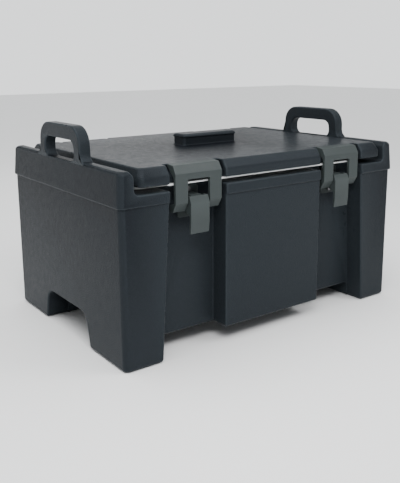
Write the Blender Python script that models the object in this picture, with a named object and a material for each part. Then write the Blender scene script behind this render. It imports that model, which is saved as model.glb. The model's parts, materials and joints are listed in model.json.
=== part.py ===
"""Insulated food carrier: a foam-filled, rotomoulded box with a lift-off lid and four draw latches.

Metres, +Z up. The origin is on the floor under the middle of the box. The long side runs along X,
the front faces -Y, and the front and the rear are mirror images.
"""
import math

import bmesh
import bpy
from mathutils import Matrix, Vector

# Overall size
HALF_LENGTH = 0.3215       # just under the band; the feet stand DRAFT further in
DRAFT = 0.0015
HALF_WIDTH = 0.215
CORNER_RADIUS = 0.010
SKIN = 0.0035              # wall of the moulded shells
GAP = 0.0003               # clearance between neighbouring pieces

# Body heights
BELLY_Z = 0.030            # underside between the legs
BELLY_RELIEF = 0.0015      # lip left where the underside meets a recess or a notch
LEDGE_Z = 0.271            # lower edge of the band round the top of the body
RIM_Z = 0.290              # rim that the seal rests on
WALL_TOP_Z = 0.3285        # end walls that the lid lies between
WALL_CHAMFER = (0.004, 0.0045)    # inwards and down, along the outer edge of the end walls
BAND_PROUD = 0.003
BAND_TAPER = 0.003
ABOVE = 0.060              # how far a cutter runs past an open side

# Body plan
WALL_INNER_X = 0.2955
WALL_LIP_X = 0.304
PANEL_HALF_X = 0.1145      # centre panel of the front and rear
LEG_INNER_X = 0.229        # inner edge of a corner leg at rim height
LEG_FOOT_X = 0.246         # the same edge at the floor
RECESS_FLOOR_Y = 0.178
NOTCH_DEPTH = 0.045
NOTCH_TOP_Z = 0.062
NOTCH_TOP_HALF_Y = 0.078
NOTCH_FOOT_HALF_Y = 0.0915
NOTCH_CORNER = 0.026

# Room for a full-size 530 x 325 mm food pan that hangs by its rim
POCKET_HALF = (0.268, 0.1655)
POCKET_RADIUS = 0.022
POCKET_Z = 0.272
WELL_HALF = (0.254, 0.152)
WELL_RADIUS = 0.040
WELL_Z = 0.078

# Handles moulded on the end walls
HANDLE_TOP_Z = 0.388
HANDLE_HALF_Y = 0.081
HANDLE_FOOT_HALF_Y = 0.104
HANDLE_FOOT_RADIUS = 0.020
HANDLE_CORNER = 0.034
HANDLE_X = (0.2995, 0.3212)
GRIP_HOLE_HALF_Y = 0.060
GRIP_HOLE_Z = (0.325, 0.3625)
GRIP_HOLE_CORNER = 0.016

# Lid
LID_HALF = (0.286, 0.215)
LID_CORNER = 0.010
LID_BOTTOM_Z = 0.300
LID_SHOULDER_Z = 0.315
LID_TOP_Z = 0.330
LID_BEVEL = (0.006, 0.010)
HOOK_SEAT = ((-0.2035, 0.3128), (-0.1898, 0.3265))     # foot and head of the slope under a hook
PLUG_HALF = (0.264, 0.1615)
PLUG_RADIUS = 0.018
PLUG_Z = 0.281
GRIP_STEM_HALF = (0.0655, 0.0185)
GRIP_CAP_HALF = (0.0665, 0.0210)
GRIP_CORNER = 0.006
GRIP_NECK_Z = 0.3465
GRIP_EDGE_Z = 0.3490
GRIP_TOP_Z = 0.353
GRIP_CHAMFER = (0.003, 0.004)

# Seal under the lid
SEAL_Z = (0.2966, 0.2995)
SEAL_LIP_OUTER = (0.2775, 0.1755)
SEAL_LIP_WIDTH = 0.007
SEAL_FLANGE = (0.2295, 0.2075)

# Filler holes and their plugs
FILLER_RADIUS = 0.012
FILLER_X = 0.120
PLUG_FLANGE = 0.0035

# Draw latches, laid out for the front: y is negative outside, x is from the latch's own middle
LATCH_X = (PANEL_HALF_X + LEG_INNER_X) / 2
LATCH_NOTCH_HALF_X = (LEG_INNER_X - PANEL_HALF_X) / 2
PIN_RADIUS = 0.0025
PIVOT_PIN_HALF = 0.0172
LINK_PIN_HALF = 0.0400
PIVOT = (-0.2035, 0.270)
LINK = (-0.2005, 0.256)
FRAME_HALF_X = 0.047
WINDOW_HALF_X = 0.0225
WINDOW_TOP_Z = 0.3045
FRAME_FACE_Y = -0.2155
FRAME_THICK = 0.0065
EYE_RADIUS = 0.0055
LEVER_HALF_X = 0.019
CHEEK = 0.0037
LEVER_FACE_Y = -0.2185
LEVER_TIP_Z = 0.212
LEVER_TOP_Z = 0.2755
BASE_HALF_X = 0.021
BASE_Z = (0.234, 0.2885)
BASE_THICK = 0.004
BOSS_HALF_X = 0.011
BOSS_RADIUS = 0.006
SCREW_Z = (0.2425, 0.2824)
SCREW_RADIUS = 0.0022
SCREW_HEAD = (0.004, 0.0022)
SCREW_DEPTH = 0.008               # how far a screw reaches past the recess floor

ARC_SEGMENTS = 6
ROUND_SIDES = 24

PARTS = bpy.data.collections.new("insulated_food_carrier")
CUTTERS = bpy.data.collections.new("cutters")


# Outlines -----------------------------------------------------------------------------------------

def rounded(corners, segments=ARC_SEGMENTS):
    """Closed outline through (u, v, radius) corners, with an arc at each corner that has a radius."""
    outline = []
    for index, (u, v, radius) in enumerate(corners):
        corner = Vector((u, v))
        if radius <= 0:
            outline.append(corner)
            continue
        before = (Vector(corners[index - 1][:2]) - corner).normalized()
        after = (Vector(corners[(index + 1) % len(corners)][:2]) - corner).normalized()
        half_angle = before.angle(after) / 2
        centre = corner + (before + after).normalized() * (radius / math.sin(half_angle))
        reach = radius / math.tan(half_angle)
        first = corner + before * reach - centre
        last = corner + after * reach - centre
        start = math.atan2(first.y, first.x)
        sweep = (math.atan2(last.y, last.x) - start + math.pi) % math.tau - math.pi
        for step in range(segments + 1):
            angle = start + sweep * step / segments
            outline.append(centre + Vector((math.cos(angle), math.sin(angle))) * radius)
    return outline


def rectangle(half, radius, segments=ARC_SEGMENTS):
    """Outline of a rectangle about the origin, with rounded corners."""
    u, v = half
    return rounded([(-u, -v, radius), (u, -v, radius), (u, v, radius), (-u, v, radius)], segments)


def circle(centre, radius, sides=ROUND_SIDES):
    """Outline of a circle."""
    angles = (math.tau * (step + 0.5) / sides for step in range(sides))
    return [Vector((centre[0] + radius * math.cos(a), centre[1] + radius * math.sin(a))) for a in angles]


# Solids -------------------------------------------------------------------------------------------

# Turns a flat outline (u, v) and its extrusion onto the axes: X takes (y, z), Y takes (x, z)
TURNS = {
    "X": Matrix(((0, 0, 1, 0), (1, 0, 0, 0), (0, 1, 0, 0), (0, 0, 0, 1))),
    "Y": Matrix(((1, 0, 0, 0), (0, 0, -1, 0), (0, 1, 0, 0), (0, 0, 0, 1))),
    "Z": Matrix.Identity(4),
}


def slab(name, axis, outline, low, high):
    """A flat outline extruded along an axis from low to high."""
    curve = bpy.data.curves.new(name, "CURVE")
    curve.dimensions = "2D"
    curve.fill_mode = "BOTH"
    curve.extrude = (high - low) / 2
    spline = curve.splines.new("POLY")
    spline.points.add(len(outline) - 1)
    for point, (u, v) in zip(spline.points, outline):
        point.co = (u, v, 0, 1)
    spline.use_cyclic_u = True
    flat = bpy.data.objects.new(name, curve)
    CUTTERS.objects.link(flat)
    middle = Vector((0, 0, 0))
    middle["XYZ".index(axis)] = (low + high) / 2
    mesh = evaluated_mesh(flat)
    mesh.transform(Matrix.Translation(middle) @ TURNS[axis])
    bpy.data.objects.remove(flat)

    solid = bmesh.new()
    solid.from_mesh(mesh)
    bmesh.ops.remove_doubles(solid, verts=solid.verts, dist=1e-6)
    bmesh.ops.dissolve_limit(solid, angle_limit=1e-4, verts=solid.verts, edges=solid.edges)
    bmesh.ops.recalc_face_normals(solid, faces=solid.faces)
    solid.to_mesh(mesh)
    solid.free()
    part = bpy.data.objects.new(name, mesh)
    PARTS.objects.link(part)
    return part


def evaluated_mesh(part):
    """The mesh of an object with its modifiers and curve settings worked out."""
    bpy.context.view_layer.update()
    depsgraph = bpy.context.evaluated_depsgraph_get()
    return bpy.data.meshes.new_from_object(part.evaluated_get(depsgraph))


def combine(part, tool, operation):
    """Join a tool to a part, or cut it away, and use the tool up."""
    boolean = part.modifiers.new("boolean", "BOOLEAN")
    boolean.operation = operation
    boolean.solver = "EXACT"
    boolean.object = tool
    mesh = evaluated_mesh(part)
    part.modifiers.clear()
    part.data = mesh
    bpy.data.objects.remove(tool)
    return part


def join(part, tool):
    return combine(part, tool, "UNION")


def cut(part, tool):
    return combine(part, tool, "DIFFERENCE")


def raise_top(part, rise, inset_x, inset_y):
    """Extrude the flat top of a solid upwards and draw it in."""
    solid = bmesh.new()
    solid.from_mesh(part.data)
    top = max(vert.co.z for vert in solid.verts)
    caps = [face for face in solid.faces if all(vert.co.z > top - 1e-6 for vert in face.verts)]
    raised = bmesh.ops.extrude_face_region(solid, geom=caps)["geom"]
    bmesh.ops.delete(solid, geom=caps, context="FACES")
    verts = [item for item in raised if isinstance(item, bmesh.types.BMVert)]
    reach_x = max(abs(vert.co.x) for vert in verts)
    reach_y = max(abs(vert.co.y) for vert in verts)
    scale = Vector((1 - inset_x / reach_x, 1 - inset_y / reach_y, 1))
    bmesh.ops.scale(solid, vec=scale, verts=verts)
    bmesh.ops.translate(solid, vec=(0, 0, rise), verts=verts)
    bmesh.ops.recalc_face_normals(solid, faces=solid.faces)
    solid.to_mesh(part.data)
    solid.free()
    return part


def mirrored(outline, sign):
    """An outline with its first coordinate turned to the wanted side."""
    return [Vector((u * sign, v)) for u, v in outline]


def shrunk(half, inset):
    return (half[0] - inset, half[1] - inset)


# Body ---------------------------------------------------------------------------------------------

def leg_edge_x(z):
    """Inner edge of a corner leg: it leans outwards towards the floor."""
    return LEG_FOOT_X + (LEG_INNER_X - LEG_FOOT_X) * z / RIM_Z


def notch_half_y(z):
    """Half width of the arch between the two legs of an end."""
    return NOTCH_FOOT_HALF_Y + (NOTCH_TOP_HALF_Y - NOTCH_FOOT_HALF_Y) * z / NOTCH_TOP_Z


def body_solid(name, inset):
    """The body's form with every surface moved inwards by inset."""
    half = (HALF_LENGTH - inset, HALF_WIDTH - inset)
    radius = max(CORNER_RADIUS - inset, 0.003)
    foot = (half[0] - DRAFT, half[1])
    body = slab(name, "Z", rectangle(foot, radius), inset, inset + SKIN)
    raise_top(body, LEDGE_Z, -DRAFT, 0)
    wide = (half[0] + BAND_PROUD, half[1] + BAND_PROUD)
    band = slab("band", "Z", rectangle(wide, radius), LEDGE_Z + inset, LEDGE_Z + SKIN + inset * 1.2)
    chamfer_in, chamfer_down = WALL_CHAMFER
    raise_top(band, WALL_TOP_Z - chamfer_down - LEDGE_Z - SKIN - inset * 1.7, BAND_TAPER, BAND_TAPER)
    raise_top(band, chamfer_down - inset * 0.5, chamfer_in, chamfer_in)
    join(body, band)
    cut(body, lid_channel(inset))
    for side in (-1, 1):
        join(body, handle_solid(side, inset))
        cut(body, grip_hole(side, inset))
    cut(body, slab("pocket", "Z", rectangle(shrunk(POCKET_HALF, -inset), POCKET_RADIUS + inset),
                   POCKET_Z - inset, WALL_TOP_Z + ABOVE))
    cut(body, slab("well", "Z", rectangle(shrunk(WELL_HALF, -inset), WELL_RADIUS + inset),
                   WELL_Z - inset, WALL_TOP_Z + ABOVE))
    for side in (-1, 1):
        for face in (-1, 1):
            cut(body, latch_recess(side, face, inset))
        cut(body, end_notch(side, inset))
    return cut(body, join(belly_lengthwise(inset), belly_crosswise(inset)))


def handle_solid(side, inset):
    """Upright loop on an end wall, before its grip hole is cut."""
    top = HANDLE_TOP_Z - inset
    half = HANDLE_HALF_Y - inset
    foot = HANDLE_FOOT_HALF_Y - inset
    root_z = WALL_TOP_Z - 0.015
    foot_z = WALL_TOP_Z - WALL_CHAMFER[1] - GAP - inset
    outline = rounded([
        (-foot, root_z, 0), (-foot, foot_z, 0), (-half - 0.001, foot_z, HANDLE_FOOT_RADIUS),
        (-half, top, HANDLE_CORNER), (half, top, HANDLE_CORNER),
        (half + 0.001, foot_z, HANDLE_FOOT_RADIUS), (foot, foot_z, 0), (foot, root_z, 0)])
    low, high = sorted((side * (HANDLE_X[0] + inset), side * (HANDLE_X[1] - inset)))
    return slab("handle", "X", outline, low, high)


def grip_hole(side, inset):
    bottom, top = GRIP_HOLE_Z[0] - inset, GRIP_HOLE_Z[1] + inset
    half = GRIP_HOLE_HALF_Y + inset
    outline = rounded([(-half, bottom, GRIP_HOLE_CORNER), (half, bottom, GRIP_HOLE_CORNER),
                       (half - 0.003, top, GRIP_HOLE_CORNER), (-half + 0.003, top, GRIP_HOLE_CORNER)])
    low, high = sorted((side * (HANDLE_X[0] - ABOVE / 3), side * (HALF_LENGTH + ABOVE)))
    return slab("grip_hole", "X", outline, low, high)


def lid_channel(inset):
    """Open channel along the top, between the two end walls."""
    inner, lip = WALL_INNER_X + inset, WALL_LIP_X + inset
    floor = RIM_Z - inset
    top = WALL_TOP_Z + ABOVE
    outline = rounded([
        (-lip, top, 0), (-lip, WALL_TOP_Z + 0.002, 0.003), (-inner, WALL_TOP_Z - 0.009, 0.010),
        (-inner, floor, 0.008), (inner, floor, 0.008), (inner, WALL_TOP_Z - 0.009, 0.010),
        (lip, WALL_TOP_Z + 0.002, 0.003), (lip, top, 0)], 4)
    return slab("lid_channel", "Y", outline, -HALF_WIDTH - ABOVE, HALF_WIDTH + ABOVE)


def latch_recess(side, face, inset):
    """Upright recess between a corner leg and the centre panel."""
    low, high = -ABOVE, WALL_TOP_Z + ABOVE
    outline = [(PANEL_HALF_X - inset, low), (leg_edge_x(low) + inset, low),
               (leg_edge_x(high) + inset, high), (PANEL_HALF_X - inset, high)]
    near, far = sorted((face * (RECESS_FLOOR_Y - inset), face * (HALF_WIDTH + ABOVE)))
    return slab("latch_recess", "Y", mirrored(outline, side), near, far)


def end_notch(side, inset):
    """Arch between the legs of an end, which clears the handle of a carrier stacked below."""
    low, top = -ABOVE, NOTCH_TOP_Z + inset
    outline = rounded([(-notch_half_y(low) - inset, low, 0), (notch_half_y(low) + inset, low, 0),
                       (notch_half_y(top) + inset, top, NOTCH_CORNER),
                       (-notch_half_y(top) - inset, top, NOTCH_CORNER)])
    near, far = sorted((side * (HALF_LENGTH - NOTCH_DEPTH - inset), side * (HALF_LENGTH + ABOVE)))
    return slab("end_notch", "X", outline, near, far)


def belly_lengthwise(inset):
    """Clearance under the body from one end notch to the other."""
    low, top = -ABOVE, BELLY_Z + inset
    relief = BELLY_RELIEF
    outline = [(-notch_half_y(low) - inset + relief, low), (notch_half_y(low) + inset - relief, low),
               (notch_half_y(top) + inset - relief, top), (-notch_half_y(top) - inset + relief, top)]
    return slab("belly_lengthwise", "X", outline, -HALF_LENGTH - ABOVE, HALF_LENGTH + ABOVE)


def belly_crosswise(inset):
    """Clearance under the body from front to rear, between the left and right legs."""
    low, top = -ABOVE, BELLY_Z + inset
    relief = BELLY_RELIEF
    outline = [(-leg_edge_x(low) - inset + relief, low), (leg_edge_x(low) + inset - relief, low),
               (leg_edge_x(top) + inset - relief, top), (-leg_edge_x(top) - inset + relief, top)]
    return slab("belly_crosswise", "Y", outline, -HALF_WIDTH - ABOVE, HALF_WIDTH + ABOVE)


def make_body():
    shell = cut(body_solid("body_shell", 0), body_solid("body_hollow", SKIN))
    foam = body_solid("body_foam_core", SKIN + GAP)
    for side in (-1, 1):
        cut(shell, slab("filler", "Z", circle((side * FILLER_X, 0), FILLER_RADIUS),
                        BELLY_Z - SKIN, BELLY_Z + SKIN * 1.5))
        filler_plug("body_plug_" + ("left" if side < 0 else "right"), side * FILLER_X, BELLY_Z)
    for side in (-1, 1):
        for face in (-1, 1):
            for z in SCREW_Z:
                for solid in (shell, foam):
                    cut(solid, screw_hole(side, face, z))
    return shell, foam


def filler_plug(name, x, z):
    """Push-in plug for a filler hole in a surface that faces down at height z."""
    plug = slab(name, "Z", circle((x, 0), FILLER_RADIUS + PLUG_FLANGE), z - GAP - 0.0025, z - GAP)
    stem = slab("stem", "Z", circle((x, 0), FILLER_RADIUS - GAP), z - 0.001, z + SKIN - GAP)
    return join(plug, stem)


# Lid ----------------------------------------------------------------------------------------------

def lid_solid(name, inset):
    """The lid's form with every surface moved inwards by inset."""
    half = shrunk(LID_HALF, inset)
    lid = slab(name, "Z", rectangle(half, LID_CORNER - inset),
               LID_BOTTOM_Z + inset, LID_SHOULDER_Z)
    raise_top(lid, LID_TOP_Z - LID_SHOULDER_Z - inset, *LID_BEVEL)
    join(lid, slab("plug", "Z", rectangle(shrunk(PLUG_HALF, inset), PLUG_RADIUS - inset),
                   PLUG_Z + inset, LID_BOTTOM_Z + SKIN * 2.5))
    stem_top = GRIP_NECK_Z + 0.001 if inset == 0 else GRIP_TOP_Z - SKIN - inset
    join(lid, slab("grip_stem", "Z", rectangle(shrunk(GRIP_STEM_HALF, inset), GRIP_CORNER - inset),
                   LID_TOP_Z - SKIN * 2.5, stem_top))
    if inset == 0:
        cap = slab("grip_cap", "Z", rectangle(GRIP_CAP_HALF, GRIP_CORNER), GRIP_NECK_Z, GRIP_EDGE_Z)
        join(lid, raise_top(cap, GRIP_TOP_Z - GRIP_EDGE_Z, *GRIP_CHAMFER))
    for side in (-1, 1):
        for face in (-1, 1):
            cut(lid, hook_seat(side, face, inset))
    return lid


def hook_seat(side, face, inset):
    """Notch in the lid's edge, with the slope that a latch hook draws down on."""
    outer = -HALF_WIDTH - ABOVE
    (low_y, low_z), (high_y, high_z) = HOOK_SEAT
    outline = [(outer, PLUG_Z - ABOVE), (low_y + inset, PLUG_Z - ABOVE), (low_y + inset, low_z),
               (high_y + inset, high_z), (high_y + inset + 0.0013, LID_TOP_Z + ABOVE),
               (outer, LID_TOP_Z + ABOVE)]
    reach = LATCH_NOTCH_HALF_X + inset
    return slab("hook_seat", "X", mirrored(outline, -face), side * LATCH_X - reach, side * LATCH_X + reach)


def make_lid():
    shell = cut(lid_solid("lid_shell", 0), lid_solid("lid_hollow", SKIN))
    cut(shell, slab("filler", "Z", circle((0, 0), FILLER_RADIUS), PLUG_Z - SKIN, PLUG_Z + SKIN * 1.5))
    foam = lid_solid("lid_foam_core", SKIN + GAP)
    filler_plug("lid_plug", 0, PLUG_Z)
    return shell, foam


def make_seal():
    """Flat seal round the lid's plug, with a lip that rests on the rim."""
    low, high = SEAL_Z
    seal = slab("lid_seal", "Z", rectangle(SEAL_FLANGE, 0.004), low, high)
    join(seal, slab("seal_lip", "Z", rectangle(SEAL_LIP_OUTER, 0.020), RIM_Z + GAP, high - 0.0005))
    hole = shrunk(PLUG_HALF, -GAP * 2)
    cut(seal, slab("plug_hole", "Z", rectangle(hole, PLUG_RADIUS), RIM_Z - ABOVE, RIM_Z + ABOVE))
    inside = shrunk(SEAL_LIP_OUTER, SEAL_LIP_WIDTH)
    return cut(seal, slab("lip_bore", "Z", rectangle(inside, PLUG_RADIUS), RIM_Z - ABOVE, low))


# Latches ------------------------------------------------------------------------------------------

def latch_slab(name, outline, half_x, side, face, offset=0.0):
    """A side outline drawn for the front, as a slab across a latch on the wanted side and face."""
    middle = side * LATCH_X + offset
    return slab(name, "X", mirrored(outline, -face), middle - half_x, middle + half_x)


def pin(name, centre, half_x, side, face):
    return latch_slab(name, circle(centre, PIN_RADIUS, 20), half_x, side, face)


def pin_bore(centre, half_x, side, face):
    """Running hole for a pin of this half length, closed where it doesn't reach a piece's side."""
    return latch_slab("pin_bore", circle(centre, PIN_RADIUS + GAP, 20), half_x + GAP, side, face)


def round_along_y(name, side, face, z, radius, near, far):
    """Cylinder through the recess floor of a latch, from near to far as drawn for the front."""
    low, high = sorted((near * -face, far * -face))
    return slab(name, "Y", circle((side * LATCH_X, z), radius, 16), low, high)


def screw_hole(side, face, z):
    return round_along_y("screw_hole", side, face, z, SCREW_RADIUS + GAP,
                         -RECESS_FLOOR_Y - ABOVE / 2, -RECESS_FLOOR_Y + SCREW_DEPTH)


def latch_base(name, side, face):
    """Plate on the recess floor, with the nose that carries the pivot pin."""
    back = -RECESS_FLOOR_Y - GAP
    front = back - BASE_THICK
    plate = slab(name, "Y", rounded([(-BASE_HALF_X, BASE_Z[0], 0.004), (BASE_HALF_X, BASE_Z[0], 0.004),
                                     (BASE_HALF_X, BASE_Z[1], 0.004), (-BASE_HALF_X, BASE_Z[1], 0.004)], 3),
                 *sorted((back * -face, front * -face)))
    plate.data.transform(Matrix.Translation((side * LATCH_X, 0, 0)))
    y, z = PIVOT
    round_nose = BOSS_RADIUS * 0.98
    nose = rounded([(front + 0.001, z - BOSS_RADIUS, 0), (y - BOSS_RADIUS, z - BOSS_RADIUS, round_nose),
                    (y - BOSS_RADIUS, z + BOSS_RADIUS, round_nose), (front + 0.001, z + BOSS_RADIUS, 0)])
    join(plate, latch_slab("nose", nose, BOSS_HALF_X, side, face))
    cut(plate, pin_bore(PIVOT, PIVOT_PIN_HALF, side, face))
    for screw_z in SCREW_Z:
        cut(plate, screw_hole(side, face, screw_z))
    return plate


def latch_screw(name, side, face, z):
    """Pan-head screw through the base plate into the wall."""
    head_radius, head_height = SCREW_HEAD
    seat = -RECESS_FLOOR_Y - GAP - BASE_THICK - GAP
    screw = round_along_y(name, side, face, z, head_radius, seat - head_height, seat)
    tip = -RECESS_FLOOR_Y + SCREW_DEPTH - GAP
    return join(screw, round_along_y("shank", side, face, z, SCREW_RADIUS, seat - head_height / 2, tip))


def latch_lever(name, side, face):
    """Channel-section lever: a front plate with two cheeks that hold both pins."""
    inner_y = LEVER_FACE_Y + 0.004
    cheek_y = -0.195
    outline = rounded([
        (LEVER_FACE_Y + 0.002, LEVER_TIP_Z, 0), (LEVER_FACE_Y, 0.2295, 0), (LEVER_FACE_Y, 0.2645, 0),
        (LEVER_FACE_Y + 0.0045, LEVER_TOP_Z, 0), (PIVOT[0], LEVER_TOP_Z, 0.002),
        (cheek_y, PIVOT[1], 0.004), (cheek_y, LINK[1] - 0.006, 0.004), (inner_y + 0.001, 0.243, 0.003),
        (inner_y + 0.001, 0.231, 0), (inner_y + 0.002, LEVER_TIP_Z, 0)], 3)
    lever = latch_slab(name, outline, LEVER_HALF_X, side, face)
    hollow = [(inner_y, 0.243), (inner_y, 0.2635), (inner_y + 0.004, LEVER_TOP_Z + 0.002),
              (cheek_y + 0.01, LEVER_TOP_Z + 0.002), (cheek_y + 0.01, 0.236), (inner_y, 0.236)]
    cut(lever, latch_slab("lever_hollow", hollow, LEVER_HALF_X - CHEEK, side, face))
    cut(lever, pin_bore(PIVOT, PIVOT_PIN_HALF, side, face))
    return cut(lever, pin_bore(LINK, LINK_PIN_HALF, side, face))


def latch_frame(name, side, face):
    """Draw frame: an inverted U whose feet curl round the link pin and whose top hooks on the lid."""
    back = FRAME_FACE_Y + FRAME_THICK
    y, z = LINK
    outline = rounded([
        (FRAME_FACE_Y, z + 0.010, 0.004), (FRAME_FACE_Y, 0.315, 0.002), (-0.2075, 0.3285, 0.002),
        (-0.1905, 0.3305, 0.001), (-0.1905, 0.3265, 0), (back, 0.3080, 0.002), (back, z + 0.010, 0.003),
        (y + EYE_RADIUS, z + EYE_RADIUS, EYE_RADIUS * 0.95),
        (y + EYE_RADIUS, z - EYE_RADIUS, EYE_RADIUS * 0.95),
        (y - EYE_RADIUS, z - EYE_RADIUS, EYE_RADIUS * 0.7)], 4)
    frame = latch_slab(name, outline, FRAME_HALF_X, side, face)
    low = z - EYE_RADIUS * 2
    window = slab("window", "Y", rounded([(-WINDOW_HALF_X, low, 0), (WINDOW_HALF_X, low, 0),
                                          (WINDOW_HALF_X, WINDOW_TOP_Z, 0.0015),
                                          (-WINDOW_HALF_X, WINDOW_TOP_Z, 0.0015)], 2),
                  *sorted((-0.16 * -face, -0.25 * -face)))
    window.data.transform(Matrix.Translation((side * LATCH_X, 0, 0)))
    cut(frame, window)
    return cut(frame, pin_bore(LINK, LINK_PIN_HALF, side, face))


def make_latch(side, face):
    place = ("front" if face < 0 else "rear") + ("_left" if side < 0 else "_right")
    latch_base("latch_base_" + place, side, face)
    pin("pivot_pin_" + place, PIVOT, PIVOT_PIN_HALF, side, face)
    for z, level in zip(SCREW_Z, ("lower", "upper")):
        latch_screw("latch_screw_" + level + "_" + place, side, face, z)
    latch_lever("latch_lever_" + place, side, face)
    pin("link_pin_" + place, LINK, LINK_PIN_HALF, side, face)
    latch_frame("latch_frame_" + place, side, face)


# Materials ----------------------------------------------------------------------------------------

# Name stem: (colour, roughness, metallic)
FINISHES = {
    "shell": ((0.045, 0.047, 0.055), 0.62, 0.0),
    "foam": ((0.80, 0.72, 0.50), 0.90, 0.0),
    "plug": ((0.030, 0.032, 0.036), 0.60, 0.0),
    "seal": ((0.72, 0.74, 0.74), 0.45, 0.0),
    "latch_base": ((0.060, 0.075, 0.075), 0.50, 0.0),
    "latch_lever": ((0.095, 0.115, 0.115), 0.45, 0.0),
    "latch_frame": ((0.095, 0.115, 0.115), 0.45, 0.0),
    "pin": ((0.55, 0.56, 0.57), 0.30, 1.0),
    "screw": ((0.12, 0.12, 0.13), 0.35, 1.0),
}


def finish_for(name):
    return next(stem for stem in FINISHES if stem in name)


def paint(part):
    """Give a part the material of its kind and smooth its round faces."""
    stem = finish_for(part.name)
    material = bpy.data.materials.get(stem)
    if material is None:
        colour, roughness, metallic = FINISHES[stem]
        material = bpy.data.materials.new(stem)
        material.use_nodes = True
        shader = material.node_tree.nodes["Principled BSDF"]
        shader.inputs["Base Color"].default_value = (*colour, 1)
        shader.inputs["Roughness"].default_value = roughness
        shader.inputs["Metallic"].default_value = metallic
    part.data.materials.clear()
    part.data.materials.append(material)
    part.data.shade_smooth()
    part.data.set_sharp_from_angle(angle=math.radians(35))


def main():
    for old in list(bpy.data.objects):
        bpy.data.objects.remove(old)
    for collection in (PARTS, CUTTERS):
        bpy.context.scene.collection.children.link(collection)
    make_body()
    make_lid()
    make_seal()
    for face in (-1, 1):
        for side in (-1, 1):
            make_latch(side, face)
    for part in PARTS.objects:
        paint(part)


main()
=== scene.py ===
"""Looks of the insulated food carrier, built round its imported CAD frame. Metres, +Z up, front at -Y."""
import json
import math

import bmesh
import bpy
from mathutils import Matrix, Vector
from mathutils.bvhtree import BVHTree


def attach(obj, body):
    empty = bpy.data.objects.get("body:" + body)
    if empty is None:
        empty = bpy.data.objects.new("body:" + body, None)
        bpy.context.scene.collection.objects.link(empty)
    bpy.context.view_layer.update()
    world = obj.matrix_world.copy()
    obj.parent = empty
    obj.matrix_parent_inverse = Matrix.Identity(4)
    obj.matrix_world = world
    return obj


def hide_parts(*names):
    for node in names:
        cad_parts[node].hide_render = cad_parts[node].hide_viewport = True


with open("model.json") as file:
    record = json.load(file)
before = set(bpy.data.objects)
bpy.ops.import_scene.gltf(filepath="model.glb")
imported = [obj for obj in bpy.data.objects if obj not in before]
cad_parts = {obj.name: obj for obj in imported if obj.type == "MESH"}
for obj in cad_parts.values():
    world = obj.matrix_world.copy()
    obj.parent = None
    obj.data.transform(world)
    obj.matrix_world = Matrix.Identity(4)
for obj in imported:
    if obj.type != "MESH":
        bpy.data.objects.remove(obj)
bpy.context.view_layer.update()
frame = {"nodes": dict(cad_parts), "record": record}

NODE_SLOT = {entry["node"]: entry["material_slot"] for entry in frame["record"]["subparts"]}
LATCH_PLACES = [face + "_" + side for face in ("front", "rear") for side in ("left", "right")]

# Cleaning of the CAD meshes
WELD = 1e-5                     # corners closer than this become one
FLAT = math.radians(0.4)        # faces that bend less than this become one

# Widths of the rounded edges
SHELL_ROUND = 0.0032
FOOT_ROUND = 0.0060             # on the soles of the legs
LATCH_ROUND = 0.0009
SEAL_ROUND = 0.0008
ROUND_SEGMENTS = 3

# Which edges are rounded, and how far
SHARP = math.radians(27)        # edges that bend more than this are rounded
RUNS_ON = math.radians(40)      # a run of edges turns less than this at each corner
TAPER = 0.5                     # most that the width changes along a run, per length
TAPER_PASSES = 3
SHARP_SHARE = 0.46              # share of a face for the rounding, where a sharp edge lies opposite
SMOOTH_SHARE = 0.9              # and where a smooth edge does
SAMPLES = (0.02, 0.25, 0.5, 0.75, 0.98)     # places along an edge where the face is measured
SLACK = 1e-6                    # by which an opposite edge may miss a sample
NEXT_TO_NOTHING = 1e-9          # an opposite edge that covers less than this is skipped
ON_THE_EDGE = 1e-5              # and so is one that comes nearer than this
FLOOR_LEVEL = 0.001             # edges lower than this are on a sole
HIDDEN_GAP = 0.0012             # edges nearer than this to a piece held inside are out of sight

# Wear and painted highlight on rounded edges, and smoothing
EDGE_WEAR_AND_HIGHLIGHT = "edge"                   # vertex attribute: 1 on rounded convex edges, 0 on flat ground; it marks edge wear and a painted highlight
FULL_WEAR_AND_HIGHLIGHT = math.radians(25)    # bend from which the edge wear and painted highlight are full
SLIVER = 0.02                   # edges shorter than this share of the rounding don't count
NORMALS_WEIGHT = 60

# Material colours, linear
SHELL_DARK = (0.0014, 0.0020, 0.0032)
SHELL_PALE = (0.0022, 0.0029, 0.0044)
SHELL_SPECK = (0.016, 0.0165, 0.0225)
# colour of the shell's rounded edges: lighter from wear and from a painted highlight
SHELL_WEAR_AND_HIGHLIGHT = (0.036, 0.044, 0.050)
SHELL_GLOSS = (0.86, 0.89, 1.0)
NYLON_DARK = (0.0106, 0.0150, 0.0150)
NYLON_PALE = (0.0145, 0.0200, 0.0200)
# colour of the latches' rounded edges: lighter from wear and from a painted highlight
NYLON_WEAR_AND_HIGHLIGHT = (0.085, 0.100, 0.100)
STEEL = (0.50, 0.51, 0.52), (0.64, 0.65, 0.66)
DARK_STEEL = (0.10, 0.10, 0.105), (0.15, 0.15, 0.155)
SILICONE = (0.70, 0.72, 0.72), (0.82, 0.83, 0.82)
FOAM = (0.66, 0.56, 0.36), (0.82, 0.74, 0.52)
PLUG = (0.022, 0.024, 0.028), (0.034, 0.036, 0.041)
FLOOR = (0.92, 0.92, 0.92), (0.94, 0.94, 0.94)

# Ranges of a factor
WHOLE = (0.0, 1.0)
MIDDLE = (0.3, 0.7)             # where most of a noise lies

# Camera
CAMERA_PLACE = (-0.8055, -1.0833, 0.4934)
CAMERA_AZIMUTH = math.radians(-36.19)
CAMERA_ELEVATION = math.radians(10.94)
CAMERA_ROLL = math.radians(-0.3)
CAMERA_LENS = 49.42
CAMERA_SENSOR = 36
CAMERA_SHIFT = -0.1077
CAMERA_NEAR = 0.05

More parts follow.
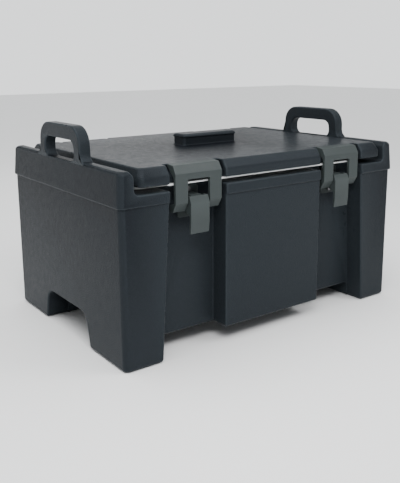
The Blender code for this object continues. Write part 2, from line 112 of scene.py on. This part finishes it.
# Floor and light
FLOOR_HALF = 9.0
FLOOR_DROP = 0.0004             # keeps the floor clear of the soles
AREA_LIGHTS = [                 # name, place, target, size, watts
    ("overhead", (-0.8, 0.2, 2.2), (-0.2, 0, 0.2), (1.8, 1.6), 22),
    ("rear", (0.70, 1.60, 1.00), (-0.1, 0, 0.33), (1.0, 0.6), 2.6),
    ("left_front", (-0.50, -0.80, 0.95), (-0.15, -0.2, 0.28), (0.5, 0.4), 7),
    ("right_front", (0.76, -1.06, 1.28), (-0.17, -0.2, 0.3), (0.6, 0.5), 9),
]
BACKDROP_TOP = (0.10, 0.28)     # steepness at which the bright backdrop fades into the dim wall
CEILING = (0.42, 0.80)          # steepness at which the light of the ceiling comes in
BACKDROP_LIGHT = 1.6
CEILING_LIGHT = 1.7
ROOM_LIGHT = 0.06
ROOM_TINT = (0.97, 0.99, 1.0)


# Node helpers ------------------------------------------------------------------------------------

def map_range(tree, value, span, result, smooth=False):
    """Value taken from one range to another, and held at its ends."""
    node = tree.nodes.new("ShaderNodeMapRange")
    node.interpolation_type = "SMOOTHSTEP" if smooth else "LINEAR"
    node.inputs["From Min"].default_value, node.inputs["From Max"].default_value = span
    node.inputs["To Min"].default_value, node.inputs["To Max"].default_value = result
    tree.links.new(value, node.inputs["Value"])
    return node.outputs["Result"]


def total(tree, first, second):
    node = tree.nodes.new("ShaderNodeMath")
    node.operation = "ADD"
    tree.links.new(first, node.inputs[0])
    tree.links.new(second, node.inputs[1])
    return node.outputs["Value"]


class Shader:
    """A Principled material that is built up node by node."""

    def __init__(self, name, roughness=0.5, metallic=0.0, specular=0.5, tint=(1, 1, 1)):
        self.material = bpy.data.materials.new(name)
        self.material.use_nodes = True
        self.tree = self.material.node_tree
        self.surface = self.tree.nodes["Principled BSDF"]
        self.surface.inputs["Roughness"].default_value = roughness
        self.surface.inputs["Metallic"].default_value = metallic
        self.surface.inputs["Specular IOR Level"].default_value = specular
        self.surface.inputs["Specular Tint"].default_value = (*tint, 1)
        self.place = self.tree.nodes.new("ShaderNodeTexCoord").outputs["Object"]

    def stretch(self, scale):
        """Object coordinates, scaled differently along each axis."""
        node = self.tree.nodes.new("ShaderNodeMapping")
        node.inputs["Scale"].default_value = scale
        self.tree.links.new(self.place, node.inputs["Vector"])
        return node.outputs["Vector"]

    def noise(self, scale, detail=3.0, roughness=0.5, vector=None, distortion=0.0):
        node = self.tree.nodes.new("ShaderNodeTexNoise")
        node.inputs["Scale"].default_value = scale
        node.inputs["Detail"].default_value = detail
        node.inputs["Roughness"].default_value = roughness
        node.inputs["Distortion"].default_value = distortion
        self.tree.links.new(vector or self.place, node.inputs["Vector"])
        return node.outputs["Fac"]

    def cells(self, scale, smoothness):
        node = self.tree.nodes.new("ShaderNodeTexVoronoi")
        node.feature = "SMOOTH_F1"
        node.inputs["Scale"].default_value = scale
        node.inputs["Smoothness"].default_value = smoothness
        self.tree.links.new(self.place, node.inputs["Vector"])
        return node.outputs["Distance"]

    # mask of rounded convex edges, for edge wear and a painted highlight
    def wear_and_highlight(self):
        node = self.tree.nodes.new("ShaderNodeAttribute")
        node.attribute_name = EDGE_WEAR_AND_HIGHLIGHT
        return node.outputs["Fac"]

    def spread(self, value, span, result):
        return map_range(self.tree, value, span, result)

    def blend(self, factor, first, second):
        """Colour between two colours, each a tuple or a socket."""
        node = self.tree.nodes.new("ShaderNodeMix")
        node.data_type = "RGBA"
        self.tree.links.new(factor, node.inputs[0])
        for socket, value in ((node.inputs[6], first), (node.inputs[7], second)):
            if isinstance(value, tuple):
                socket.default_value = (*value, 1)
            else:
                self.tree.links.new(value, socket)
        return node.outputs[2]

    def bump(self, height, distance, strength, below=None):
        node = self.tree.nodes.new("ShaderNodeBump")
        node.inputs["Distance"].default_value = distance
        node.inputs["Strength"].default_value = strength
        self.tree.links.new(height, node.inputs["Height"])
        if below is not None:
            self.tree.links.new(below, node.inputs["Normal"])
        return node.outputs["Normal"]

    def finish(self, colour, roughness=None, normal=None):
        sockets = {"Base Color": colour, "Roughness": roughness, "Normal": normal}
        for name, source in sockets.items():
            if source is not None:
                self.tree.links.new(source, self.surface.inputs[name])
        return self.material


# Materials ---------------------------------------------------------------------------------------

def shell_plastic():
    """Rotomoulded polyethylene: charcoal, with a fine pebbled skin and polished edges, made lighter by
    wear and by a painted highlight.
    """
    shader = Shader("shell_plastic", specular=0.062, tint=SHELL_GLOSS)
    wear_and_highlight = shader.wear_and_highlight()
    cloud = shader.spread(shader.noise(6.0), MIDDLE, WHOLE)
    speck = shader.spread(shader.noise(520.0, roughness=0.7), (0.50, 0.70), (0.0, 0.5))
    colour = shader.blend(cloud, SHELL_DARK, SHELL_PALE)
    colour = shader.blend(speck, colour, SHELL_SPECK)
    # rounded edges lightened: edge wear, and a painted highlight
    colour = shader.blend(shader.spread(wear_and_highlight, WHOLE, (0.0, 0.7)), colour, SHELL_WEAR_AND_HIGHLIGHT)
    matt = shader.spread(shader.noise(90.0, roughness=0.6), MIDDLE, (0.36, 0.46))
    polish = shader.spread(wear_and_highlight, WHOLE, (0.0, -0.12))
    pebbles = shader.bump(shader.cells(620.0, smoothness=0.8), distance=0.0007, strength=0.7)
    grain = shader.bump(shader.noise(1500.0, roughness=0.6), distance=0.0003, strength=0.5,
                        below=pebbles)
    waves = shader.bump(shader.noise(7.0, detail=1.0, roughness=0.4), distance=0.0010, strength=0.3,
                        below=grain)
    return shader.finish(colour, total(shader.tree, matt, polish), waves)


def latch_nylon():
    """Injection-moulded nylon: smoother and greener than the shell, with faint flow marks."""
    shader = Shader("latch_nylon", specular=0.18)
    flow = shader.noise(30.0, detail=4.0, roughness=0.6, vector=shader.stretch((1.0, 1.0, 0.25)),
                        distortion=0.6)
    colour = shader.blend(shader.spread(flow, MIDDLE, WHOLE), NYLON_DARK, NYLON_PALE)
    # rounded edges lightened: edge wear, and a painted highlight
    colour = shader.blend(shader.spread(shader.wear_and_highlight(), WHOLE, (0.0, 0.5)), colour, NYLON_WEAR_AND_HIGHLIGHT)
    roughness = shader.spread(shader.noise(120.0, roughness=0.6), MIDDLE, (0.38, 0.50))
    grain = shader.bump(shader.noise(1800.0, detail=2.0), distance=0.00012, strength=0.5)
    return shader.finish(colour, roughness, grain)


def steel(name, colours):
    """Turned steel, with fine brushing along the pins."""
    shader = Shader(name, metallic=1.0)
    brushing = shader.noise(900.0, detail=4.0, roughness=0.7, vector=shader.stretch((0.05, 1.0, 1.0)))
    roughness = shader.spread(brushing, (0.2, 0.8), (0.22, 0.38))
    lines = shader.bump(brushing, distance=0.00006, strength=0.6)
    return shader.finish(shader.blend(brushing, *colours), roughness, lines)


def silicone():
    """Pale grey silicone of the seal, with a soft bloom."""
    shader = Shader("seal_silicone")
    bloom = shader.noise(45.0, detail=4.0, roughness=0.6)
    roughness = shader.spread(bloom, MIDDLE, (0.34, 0.48))
    skin = shader.bump(shader.noise(700.0), distance=0.00015, strength=0.4)
    return shader.finish(shader.blend(bloom, *SILICONE), roughness, skin)


def foam():
    """Cream polyurethane foam with fine cells."""
    shader = Shader("foam", roughness=0.95, specular=0.2)
    cells = shader.cells(900.0, smoothness=0.2)
    pits = shader.bump(cells, distance=0.0006, strength=0.8)
    return shader.finish(shader.blend(cells, *FOAM), normal=pits)


def plug_plastic():
    """Moulded polyethylene of the filler plugs."""
    shader = Shader("plug_plastic", specular=0.45)
    cloud = shader.noise(160.0, roughness=0.6)
    roughness = shader.spread(cloud, MIDDLE, (0.45, 0.58))
    grain = shader.bump(shader.noise(1300.0), distance=0.0002, strength=0.5)
    return shader.finish(shader.blend(cloud, *PLUG), roughness, grain)


def floor_paint():
    shader = Shader("floor", roughness=0.7, specular=0.2)
    return shader.finish(shader.blend(shader.noise(3.0, detail=2.0), *FLOOR))


MATERIALS = {
    "shell_plastic": shell_plastic(), "latch_nylon": latch_nylon(), "steel": steel("steel", STEEL),
    "seal_silicone": silicone(), "foam": foam(), "plug_plastic": plug_plastic(),
    "dark_steel": steel("dark_steel", DARK_STEEL),
}


def paint(piece, slot):
    piece.data.materials.clear()
    piece.data.materials.append(MATERIALS[slot])


# Meshes ------------------------------------------------------------------------------------------

def clean_copy(node):
    """The CAD node's mesh with its flat triangles merged into whole faces."""
    solid = bmesh.new()
    solid.from_mesh(frame["nodes"][node].data)
    bmesh.ops.remove_doubles(solid, verts=solid.verts, dist=WELD)
    bmesh.ops.dissolve_limit(solid, angle_limit=FLAT, verts=solid.verts, edges=solid.edges,
                             delimit={"NORMAL"})
    return solid


def is_sharp(edge):
    return len(edge.link_faces) == 2 and edge.calc_face_angle(0) > SHARP


def turn(first, second, vert):
    """Angle between two edges that meet at a vertex, 0 where one runs on into the other."""
    arriving = vert.co - first.other_vert(vert).co
    leaving = second.other_vert(vert).co - vert.co
    return arriving.angle(leaving, 0)


def room(face, edge):
    """Width that a face has free for a rounding along one of its edges.

    It is the shortest way across the face to an opposite edge, times the share that edge leaves.
    """
    start, end = (vert.co for vert in edge.verts)
    across = face.normal.cross(end - start).normalized()
    if next(loop for loop in face.loops if loop.edge == edge).vert != edge.verts[0]:
        across.negate()
    along = (end - start).normalized()
    nearest = math.inf
    for other in face.edges:
        if other is edge or set(other.verts) & set(edge.verts):
            continue
        share = SHARP_SHARE if is_sharp(other) else SMOOTH_SHARE
        ends = [((vert.co - start).dot(along), (vert.co - start).dot(across)) for vert in other.verts]
        (u0, v0), (u1, v1) = sorted(ends)
        for place in SAMPLES:
            u = (end - start).length * place
            if u0 - SLACK <= u <= u1 + SLACK and u1 - u0 > NEXT_TO_NOTHING:
                v = v0 + (v1 - v0) * (u - u0) / (u1 - u0)
                if v > ON_THE_EDGE:
                    nearest = min(nearest, v * share)
    return nearest


def runs(edges):
    """The edges grouped into runs, each edge carrying on from the one before it."""
    group = {edge: {edge} for edge in edges}
    for edge in edges:
        for vert in edge.verts:
            for other in vert.link_edges:
                if other is not edge and other in group and turn(edge, other, vert) < RUNS_ON:
                    if group[other] is not group[edge]:
                        group[edge] |= group[other]
                        for member in group[other]:
                            group[member] = group[edge]
    return {id(run): run for run in group.values()}.values()


def roundings(solid, width, hidden):
    """Width of the rounding along each edge: the wanted width, or what its faces have room for.

    Along a run the width changes by no more than TAPER of the way gone.
    """
    sharp = [edge for edge in solid.edges if is_sharp(edge) and not hidden(edge)]
    widths = {}
    for run in runs(sharp):
        on_floor = all(vert.co.z < FLOOR_LEVEL for edge in run for vert in edge.verts)
        for edge in run:
            free = min(room(face, edge) for face in edge.link_faces)
            widths[edge] = min(FOOT_ROUND if on_floor else width, free)
        for edge in sorted(run, key=lambda member: member.index) * TAPER_PASSES:
            gain = edge.calc_length() * TAPER
            beyond = [other for vert in edge.verts for other in vert.link_edges if other in run]
            widths[edge] = min([widths[edge]] + [widths[other] + gain for other in beyond])
    return [widths.get(edge, 0.0) for edge in solid.edges]


def beside(nodes):
    """Test for edges that lie against other CAD nodes, where nobody sees them."""
    meshes = [frame["nodes"][node].data for node in nodes]
    trees = [BVHTree.FromPolygons([vert.co for vert in mesh.vertices],
                                  [tuple(face.vertices) for face in mesh.polygons])
             for mesh in meshes]

    def against(edge):
        middle = (edge.verts[0].co + edge.verts[1].co) / 2
        return any(tree.find_nearest(middle, HIDDEN_GAP)[0] is not None for tree in trees)
    return against


def bake_modifiers(piece):
    bpy.context.view_layer.update()
    depsgraph = bpy.context.evaluated_depsgraph_get()
    mesh = bpy.data.meshes.new_from_object(piece.evaluated_get(depsgraph))
    piece.modifiers.clear()
    piece.data = mesh
    mesh.name = piece.name


def mark_wear_and_highlight(mesh, width):
    """Store on each vertex how far it lies on a rounded convex edge: the mask for edge wear and a painted
    highlight.
    """
    solid = bmesh.new()
    solid.from_mesh(mesh)
    worn = []
    for vert in solid.verts:
        bend = 0.0
        for edge in vert.link_edges:
            if len(edge.link_faces) == 2 and edge.is_convex and edge.calc_length() > width * SLIVER:
                bend = max(bend, edge.calc_face_angle(0))
        worn.append(min(1.0, bend / FULL_WEAR_AND_HIGHLIGHT))
    solid.free()
    mesh.attributes.new(EDGE_WEAR_AND_HIGHLIGHT, "FLOAT", "POINT").data.foreach_set("value", worn)


def soften(node, width, inside=()):
    """A detailed piece for a moulded CAD node: the same form with rounded edges.

    Edges against the nodes it holds inside stay as they are.
    """
    solid = clean_copy(node)
    widths = roundings(solid, width, beside(inside))
    widest = max(widths)
    mesh = bpy.data.meshes.new(node + "_moulding")
    solid.to_mesh(mesh)
    solid.free()
    weights = mesh.attributes.new("bevel_weight_edge", "FLOAT", "EDGE")
    weights.data.foreach_set("value", [each / widest for each in widths])
    piece = bpy.data.objects.new(node + "_moulding", mesh)
    bpy.context.scene.collection.objects.link(piece)
    bevel = piece.modifiers.new("round", "BEVEL")
    bevel.width = widest
    bevel.segments = ROUND_SEGMENTS
    bevel.limit_method = "WEIGHT"
    bevel.use_clamp_overlap = False
    bevel.miter_outer = "MITER_ARC"
    bake_modifiers(piece)
    mark_wear_and_highlight(piece.data, width)
    piece.data.shade_smooth()
    normals = piece.modifiers.new("normals", "WEIGHTED_NORMAL")
    normals.weight = NORMALS_WEIGHT
    bake_modifiers(piece)
    paint(piece, NODE_SLOT[node])
    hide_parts(node)
    return piece


def body_of(node):
    bodies = frame["record"]["behaviour"]["bodies"]
    return next(name for name, members in bodies.items() if node in members)


# Camera, floor and light -------------------------------------------------------------------------

def add_camera():
    data = bpy.data.cameras.new("camera")
    data.lens = CAMERA_LENS
    data.sensor_width = CAMERA_SENSOR
    data.shift_y = CAMERA_SHIFT
    data.clip_start = CAMERA_NEAR
    camera = bpy.data.objects.new("camera", data)
    bpy.context.scene.collection.objects.link(camera)
    level = Matrix.Rotation(math.pi / 2 - CAMERA_ELEVATION, 4, "X")
    camera.matrix_world = (Matrix.Translation(CAMERA_PLACE)
                           @ Matrix.Rotation(CAMERA_AZIMUTH, 4, "Z") @ level
                           @ Matrix.Rotation(CAMERA_ROLL, 4, "Z"))
    bpy.context.scene.camera = camera


def add_floor():
    solid = bmesh.new()
    bmesh.ops.create_grid(solid, x_segments=1, y_segments=1, size=FLOOR_HALF)
    mesh = bpy.data.meshes.new("floor")
    solid.to_mesh(mesh)
    solid.free()
    floor = bpy.data.objects.new("floor", mesh)
    floor.location.z = -FLOOR_DROP
    bpy.context.scene.collection.objects.link(floor)
    floor.data.materials.append(floor_paint())


def add_area(name, place, target, size, power):
    data = bpy.data.lights.new(name, "AREA")
    data.shape = "RECTANGLE"
    data.size, data.size_y = size
    data.energy = power
    light = bpy.data.objects.new(name, data)
    light.location = place
    light.rotation_euler = (Vector(target) - Vector(place)).to_track_quat("-Z", "Y").to_euler()
    light.visible_camera = False
    bpy.context.scene.collection.objects.link(light)


def add_world():
    """A backdrop, bright up to a little above level, with a dim wall above it and a soft ceiling."""
    world = bpy.data.worlds.new("studio")
    world.use_nodes = True
    tree = world.node_tree
    place = tree.nodes.new("ShaderNodeTexCoord").outputs["Generated"]
    split = tree.nodes.new("ShaderNodeSeparateXYZ")
    tree.links.new(place, split.inputs[0])
    steepness = split.outputs["Z"]
    backdrop = map_range(tree, steepness, BACKDROP_TOP, (BACKDROP_LIGHT, ROOM_LIGHT), smooth=True)
    ceiling = map_range(tree, steepness, CEILING, (0.0, CEILING_LIGHT), smooth=True)
    background = tree.nodes["Background"]
    background.inputs["Color"].default_value = (*ROOM_TINT, 1)
    tree.links.new(total(tree, backdrop, ceiling), background.inputs["Strength"])
    bpy.context.scene.world = world


# Build -------------------------------------------------------------------------------------------

def main():
    add_camera()
    add_floor()
    for light in AREA_LIGHTS:
        add_area(*light)
    add_world()
    for name, node in frame["nodes"].items():
        paint(node, NODE_SLOT[name])
    for node in ("body", "lid"):
        piece = soften(node + "_shell", SHELL_ROUND, [node + "_foam_core"])
        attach(piece, body_of(node + "_shell"))
    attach(soften("lid_seal", SEAL_ROUND), "lid")
    for place in LATCH_PLACES:
        pins = ["pivot_pin_" + place, "link_pin_" + place]
        for kind in ("latch_base_", "latch_lever_", "latch_frame_"):
            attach(soften(kind + place, LATCH_ROUND, pins), body_of(kind + place))


main()
